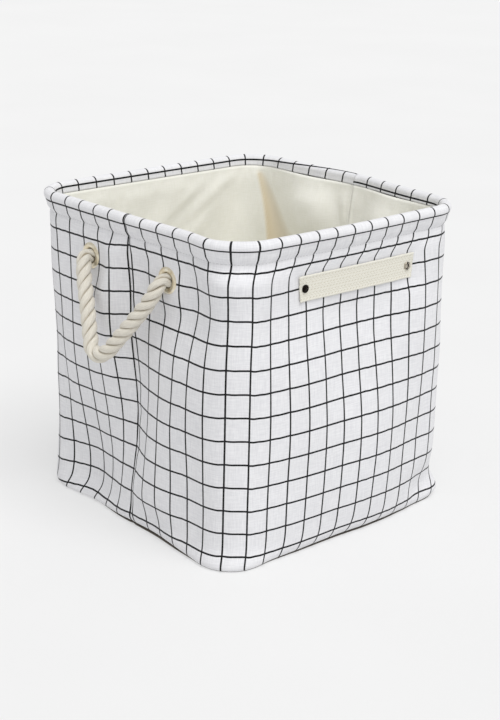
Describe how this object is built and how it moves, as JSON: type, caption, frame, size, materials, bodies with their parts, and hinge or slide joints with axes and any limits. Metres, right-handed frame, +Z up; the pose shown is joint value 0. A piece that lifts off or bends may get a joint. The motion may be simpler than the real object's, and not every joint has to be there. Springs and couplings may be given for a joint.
{
  "type": "fabric storage bin",
  "caption": "Open-top square storage bin of grid-printed canvas with a wire-stiffened rolled rim, a loose lining, swinging rope handles and a blank riveted label tape.",
  "frame": {"origin": "centre of the bin's footprint, on the surface it stands on", "axes": "+Z up; the label tape is on the -Y wall; the rope handles are on the -X wall (left) and the +X wall (right)"},
  "size_m": [0.4152, 0.34, 0.345],
  "materials": {
    "printed_canvas": "matte coated canvas, white with a thin black square grid",
    "lining_cloth": "matte plain-weave cotton, cream",
    "cotton_rope": "three-strand twisted natural cotton",
    "cotton_webbing": "herringbone cotton webbing, natural",
    "eyelet_brass": "pale satin brass plate",
    "rivet_metal": "polished dark nickel",
    "wire_steel": "drawn steel"
  },
  "bodies": {
    "root": {"outer_front_panel": "printed_canvas", "outer_back_panel": "printed_canvas", "outer_base_panel": "printed_canvas", "lining_front_panel": "lining_cloth", "lining_back_panel": "lining_cloth", "lining_base_panel": "lining_cloth", "rim_wire": "wire_steel", "rim_wire_sleeve": "wire_steel", "eyelet_left_front": "eyelet_brass", "eyelet_left_back": "eyelet_brass", "eyelet_right_front": "eyelet_brass", "eyelet_right_back": "eyelet_brass", "eyelet_washer_left_front": "eyelet_brass", "eyelet_washer_left_back": "eyelet_brass", "eyelet_washer_right_front": "eyelet_brass", "eyelet_washer_right_back": "eyelet_brass", "rope_end_left_front": "cotton_rope", "rope_end_left_back": "cotton_rope", "rope_end_right_front": "cotton_rope", "rope_end_right_back": "cotton_rope", "label_rivet_cap_left": "rivet_metal", "label_rivet_cap_right": "rivet_metal", "label_rivet_post_left": "rivet_metal", "label_rivet_post_right": "rivet_metal", "label_tape": "cotton_webbing"},
    "left_handle": {"rope_handle_left": "cotton_rope"},
    "right_handle": {"rope_handle_right": "cotton_rope"}
  },
  "joints": [
    {"name": "left_handle_swing", "type": "hinge", "parent": "root", "child": "left_handle", "pos_m": [-0.175, 0, 0.288], "axis": [0, 1, 0], "range_deg": [-16, 155]},
    {"name": "right_handle_swing", "type": "hinge", "parent": "root", "child": "right_handle", "pos_m": [0.175, 0, 0.288], "axis": [0, -1, 0], "range_deg": [-16, 155]}
  ]
}
